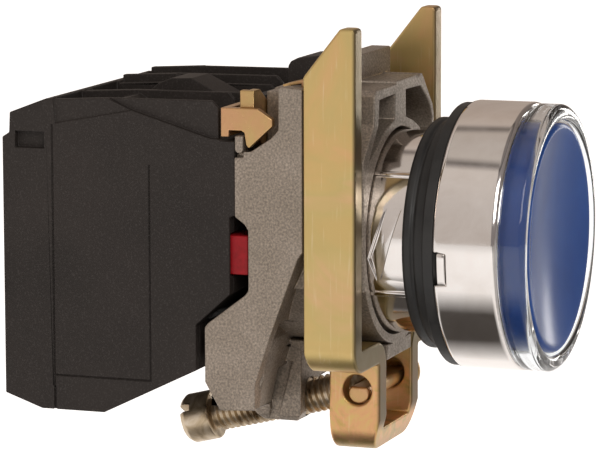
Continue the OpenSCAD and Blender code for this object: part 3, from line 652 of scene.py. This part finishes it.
steel = bright_steel()
brass = contact_brass()
grey_plastic = coloured_plastic("carrier_plastic", (0.42, 0.43, 0.45), (0.52, 0.53, 0.55))
inner_finishes = {
    "diffuser": coloured_plastic("frosted_plastic", (0.74, 0.76, 0.78), (0.84, 0.86, 0.88)),
    "push_carrier": grey_plastic, "lamp_sleeve": grey_plastic,
    "led": coloured_plastic("led_body", (0.66, 0.74, 0.82), (0.78, 0.85, 0.92)),
    "led_board": coloured_plastic("board_green", (0.02, 0.16, 0.07), (0.04, 0.24, 0.11)),
    "retaining_clip": steel,
    "nc_fixed_contacts": brass, "no_fixed_contacts": brass, "light_terminals": brass,
    "nc_bridge": brass, "no_bridge": brass}
for block_name in ("nc", "light", "no"):
    for end_name in ("top", "bottom"):
        inner_finishes[block_name + "_" + end_name + "_clamp"] = steel
        inner_finishes[block_name + "_" + end_name + "_screw"] = steel
for node, finish in inner_finishes.items():
    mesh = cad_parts[node].data
    mesh.materials.clear()
    mesh.materials.append(finish)


# ---------------------------------------------------------------- springs
# Three coil springs of round steel wire: one returns the button, and one returns each contact bridge. In the
# real head their rear ends stay on fixed seats; here each coil keeps its length and moves whole with the part
# it returns.


def coil_spring(node, body, wire_radius, coils):
    """A ring of the wire's section swept along a helix that fills the CAD spring's box."""
    low, high = (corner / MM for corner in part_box(node))
    coil_radius = (high.x - low.x) / 2 - wire_radius
    rise = high.y - low.y - 2 * wire_radius
    bpy.ops.object.select_all(action="DESELECT")
    bpy.ops.mesh.primitive_circle_add(vertices=12, radius=wire_radius * MM,
                                      location=(coil_radius * MM, 0, 0), rotation=(math.pi / 2, 0, 0))
    bpy.ops.object.transform_apply(location=True, rotation=True, scale=True)
    spring = bpy.context.object
    spring.name = node + "_finished"
    winding = spring.modifiers.new("winding", "SCREW")
    winding.axis = "Z"
    winding.angle = math.tau * coils
    winding.screw_offset = rise * MM
    winding.steps = 36 * coils
    winding.render_steps = 36 * coils
    bpy.ops.object.modifier_apply(modifier="winding")
    bpy.ops.object.mode_set(mode="EDIT")
    bpy.ops.mesh.select_all(action="DESELECT")
    bpy.ops.mesh.select_non_manifold()
    bpy.ops.mesh.edge_face_add()
    bpy.ops.mesh.select_all(action="SELECT")
    bpy.ops.mesh.normals_make_consistent(inside=False)
    bpy.ops.object.mode_set(mode="OBJECT")
    bpy.ops.object.shade_smooth_by_angle(angle=math.radians(50))
    start = Vector(((low.x + high.x) / 2, low.y + wire_radius, (low.z + high.z) / 2)) * MM
    spring.data.transform(Matrix.Translation(start) @ Matrix.Rotation(-math.pi / 2, 4, "X"))
    spring.data.materials.append(steel)
    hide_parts(node)
    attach(spring, body)
    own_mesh(spring)


coil_spring("return_spring", "button", wire_radius=0.4, coils=6)
for block_name in ("nc", "no"):
    coil_spring(block_name + "_spring", block_name + "_contact",
                wire_radius=0.25, coils=7)


# ---------------------------------------------------------------- floor, lights and camera
# A pale light table that glows behind the object, with painted shade in front of it and a painted shadow under
# its head; a soft warm room; a large lamp in front on the normally closed block's side; and a thin one beside
# the lens.

floor_z = -60 * MM
bpy.ops.object.select_all(action="DESELECT")
bpy.ops.mesh.primitive_plane_add(size=8, location=(0, 0, floor_z))
floor = bpy.context.object
floor.name = "floor"
paper, tree, shader, place = new_finish("pale_paper_painted_shadow", rough=0.9)

# The glow and the colour are dimmed by painted shade across a slanted line in front, towards the camera's side,
# and by a painted shadow round the spot under the head.
floor_axes = tree.nodes.new("ShaderNodeSeparateXYZ")
tree.links.new(place, floor_axes.inputs["Vector"])
slanted = tree.nodes.new("ShaderNodeMapping")
slanted.inputs["Rotation"].default_value = (0, 0, math.radians(-15.3))
slanted.inputs["Location"].default_value = (0, 32 * MM, 0)
tree.links.new(place, slanted.inputs["Vector"])
slanted_axes = tree.nodes.new("ShaderNodeSeparateXYZ")
tree.links.new(slanted.outputs["Vector"], slanted_axes.inputs["Vector"])
under = tree.nodes.new("ShaderNodeMapping")
under.inputs["Location"].default_value = (24 * MM, -12 * MM, 0)
tree.links.new(place, under.inputs["Vector"])
spread = tree.nodes.new("ShaderNodeVectorMath")
spread.operation = "LENGTH"
tree.links.new(under.outputs["Vector"], spread.inputs[0])


def product(first, second):
    """Two values multiplied in the floor's finish."""
    times = tree.nodes.new("ShaderNodeMath")
    times.operation = "MULTIPLY"
    tree.links.new(first, times.inputs[0])
    tree.links.new(second, times.inputs[1])
    return times.outputs["Value"]


# Painted shadow round the spot under the head, painted shade in front and on the camera's side; together they
# dim the floor's colour and glow.
painted_shadow_glow = levels(tree, spread.outputs["Value"], 0.0, 1.0, 17 * MM, 52 * MM)
painted_front_shade_glow = levels(tree, slanted_axes.outputs["Y"], 0.38, 1.0, -50 * MM, 0.0)
painted_side_shade_glow = levels(tree, floor_axes.outputs["X"], 0.7, 1.0, -50 * MM, 120 * MM)
glow = product(product(painted_shadow_glow, painted_front_shade_glow), painted_side_shade_glow)
# Where the painted shade and shadow fall, the floor's colour goes towards the dark grey and its glow dims.
tree.links.new(blended(tree, glow, (0.12, 0.115, 0.11), (0.92, 0.92, 0.92)), shader.inputs["Base Color"])
shader.inputs["Specular IOR Level"].default_value = 0.1
shader.inputs["Emission Color"].default_value = (1.0, 0.985, 0.97, 1.0)
tree.links.new(levels(tree, glow, 0.0, 0.85, 0.0, 1.0), shader.inputs["Emission Strength"])
floor.data.materials.append(paper)

# The room: warm walls with one dark beam high up, dimmer towards the front and the far side.
world = bpy.data.worlds.new("studio")
bpy.context.scene.world = world
world.use_nodes = True
sky = world.node_tree
background = sky.nodes["Background"]
direction = sky.nodes.new("ShaderNodeTexCoord").outputs["Generated"]
split = sky.nodes.new("ShaderNodeSeparateXYZ")
sky.links.new(direction, split.inputs["Vector"])
walls = shades(sky, split.outputs["Z"], [
    (0.0, (0.56, 0.50, 0.46)), (0.5, (0.60, 0.54, 0.50)), (0.86, (0.66, 0.59, 0.54)),
    (0.90, (0.16, 0.14, 0.13)), (0.93, (0.56, 0.50, 0.45)), (1.0, (0.46, 0.40, 0.36))])
front_dark = shades(sky, split.outputs["Y"], [(0.0, (0.42, 0.42, 0.44)), (0.2, (1.0, 1.0, 1.0))])
far_dark = shades(sky, split.outputs["X"], [(0.0, (1.0, 1.0, 1.0)), (0.6, (0.74, 0.68, 0.63))])
dimmed = blended(sky, 1.0, blended(sky, 1.0, walls, front_dark, "MULTIPLY"), far_dark, "MULTIPLY")
sky.links.new(dimmed, background.inputs["Color"])
background.inputs["Strength"].default_value = 1.0


def soft_lamp(name, place, aim, size, power):
    """A softbox that looks at a point; its size is width and height."""
    data = bpy.data.lights.new(name, "AREA")
    data.shape = "RECTANGLE"
    data.size, data.size_y = size
    data.energy = power
    data.color = (1.0, 0.97, 0.93)
    lamp = bpy.data.objects.new(name, data)
    bpy.context.scene.collection.objects.link(lamp)
    lamp.location = place
    lamp.rotation_euler = (Vector(aim) - Vector(place)).to_track_quat("-Z", "Y").to_euler()


soft_lamp("key", place=(-0.50, -0.32, 0.40), aim=(0, 0.01, 0), size=(0.4, 0.4), power=2.2)
soft_lamp("crescent", place=(0.45, -0.115, 0.0), aim=(0, 0, 0), size=(0.05, 0.26), power=0.2)

# The camera stands on the normally closed block's side and a little in front and above.
azimuth = math.radians(-70.267)
elevation = math.radians(8.519)
roll = math.radians(-0.149)
distance = 402.308 * MM
shift_right = -14.778 * MM
shift_up = 0.589 * MM
back = Vector((math.sin(azimuth) * math.cos(elevation), -math.cos(azimuth) * math.cos(elevation),
               math.sin(elevation)))
level = Vector((math.cos(azimuth), math.sin(azimuth), 0))
upright = back.cross(level)
right = level * math.cos(roll) + upright * math.sin(roll)
up = upright * math.cos(roll) - level * math.sin(roll)
lens_data = bpy.data.cameras.new("camera")
lens_data.sensor_width = 36
lens_data.lens = 223.19
lens_data.clip_start = 0.01
lens_data.clip_end = 20
camera = bpy.data.objects.new("camera", lens_data)
bpy.context.scene.collection.objects.link(camera)
stand = Matrix.Translation(back * distance + right * shift_right + up * shift_up)
camera.matrix_world = stand @ Matrix((right, up, back)).transposed().to_4x4()
bpy.context.scene.camera = camera
bpy.context.scene.view_settings.view_transform = "Standard"
